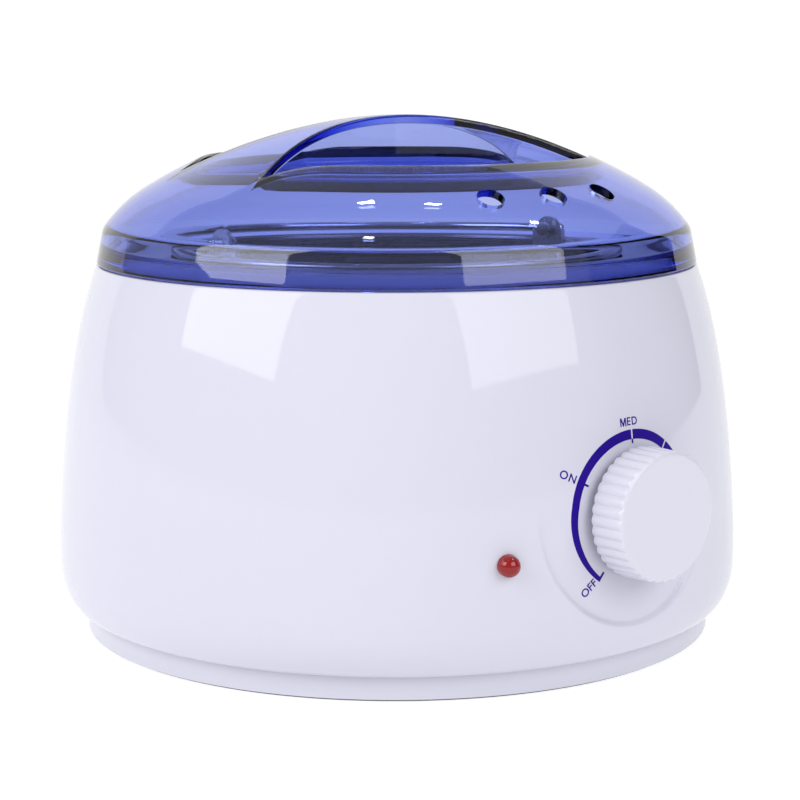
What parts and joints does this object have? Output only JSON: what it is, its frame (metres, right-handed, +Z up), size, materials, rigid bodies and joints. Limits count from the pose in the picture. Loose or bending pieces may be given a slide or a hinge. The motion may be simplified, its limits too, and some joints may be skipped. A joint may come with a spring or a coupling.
{
  "type": "wax warmer pot",
  "caption": "Round salon wax warmer with a heated well, a lift-out aluminium wax pot with a wire bail, a fluted heat knob, a red pilot lamp and a clear blue-violet domed lid.",
  "frame": {"origin": "on the housing's axis, at the plane that the rubber foot ring stands on", "axes": "+Z up along the housing's axis, -Y towards the user, through the control knob, +X to the user's right"},
  "size_m": [0.1852, 0.1978, 0.1384],
  "materials": {
    "white_gloss": "high-gloss moulded ABS, faint violet cast",
    "white_satin": "satin moulded ABS",
    "knob_white": "gloss moulded ABS",
    "rubber": "moulded anti-slip rubber",
    "zinc_steel": "zinc-plated steel",
    "anodised_aluminium": "deep-drawn, satin anodised",
    "pot_aluminium": "spun, fine circular brushing",
    "bright_wire": "bright drawn steel wire",
    "silicone": "silicone seal",
    "heater_sheet": "mica heater in a steel sheet jacket",
    "tinned_brass": "tinned brass",
    "brass": "turned brass",
    "spring_bronze": "rolled spring bronze",
    "steatite": "unglazed steatite",
    "glass_felt": "needled glass-fibre felt",
    "sleeve_glass": "silicone-coated glass braid",
    "red_lens": "clear red moulded lens",
    "nylon": "natural nylon",
    "red_nylon": "red nylon insulation",
    "lead_brown": "silicone insulated lead",
    "lead_blue": "silicone insulated lead",
    "lead_red": "silicone insulated lead",
    "lead_black": "silicone insulated lead",
    "clear_violet_blue": "transparent tinted polycarbonate, polished",
    "dial_print": "violet-blue ink of the dial's arc, ticks and words, printed on the housing"
  },
  "bodies": {
    "housing": {"outer_shell": "white_gloss", "base_plate": "white_satin", "foot_ring": "rubber", "base_screws": "zinc_steel", "cord_gland": "white_satin", "heating_well": "anodised_aluminium", "well_gasket": "silicone", "well_brackets": "zinc_steel", "well_screws": "zinc_steel", "heater_band": "heater_sheet", "band_screw": "zinc_steel", "band_nut": "zinc_steel", "heater_tabs": "tinned_brass", "insulation_sleeve": "glass_felt", "thermostat_bracket": "zinc_steel", "thermostat_body": "steatite", "thermostat_blades": "spring_bronze", "thermostat_tabs": "tinned_brass", "blade_rivets": "zinc_steel", "shaft_bush": "brass", "shaft_nut": "zinc_steel", "thermal_fuse": "tinned_brass", "fuse_sleeve": "sleeve_glass", "fuse_clip": "zinc_steel", "fuse_screws": "zinc_steel", "lamp_lens": "red_lens", "lamp_holder": "nylon", "lamp_ring": "zinc_steel", "terminal_block": "nylon", "terminal_screws": "zinc_steel", "spade_connectors": "red_nylon", "thermostat_leads": "lead_brown", "heater_leads": "lead_blue", "fuse_lead": "lead_red", "lamp_leads": "lead_black"},
    "knob": {"knob": "knob_white", "knob_clip": "zinc_steel", "thermostat_shaft": "zinc_steel"},
    "pot": {"wax_pot": "pot_aluminium", "pot_ears": "zinc_steel", "ear_rivets": "pot_aluminium"},
    "bail": {"pot_bail": "bright_wire"},
    "lid": {"lid": "clear_violet_blue"}
  },
  "joints": [
    {"name": "knob_turn", "type": "hinge", "parent": "housing", "child": "knob", "pos_m": [0, -0.092, 0.044], "axis": [0, 1, 0], "range_deg": [0, 278]},
    {"name": "pot_lift", "type": "slide", "parent": "housing", "child": "pot", "axis": [0, 0, 1], "range_m": [0, 0.085]},
    {"name": "lid_lift", "type": "slide", "parent": "pot", "child": "lid", "axis": [0, 0, 1], "range_m": [0, 0.12]},
    {"name": "bail_swing", "type": "hinge", "parent": "pot", "child": "bail", "pos_m": [0, 0, 0.1062], "axis": [1, 0, 0], "range_deg": [0, 90]}
  ],
  "couplings": [
    {"joint": "bail_swing", "follows": "lid_lift", "rad_per_m": 13.09}
  ]
}
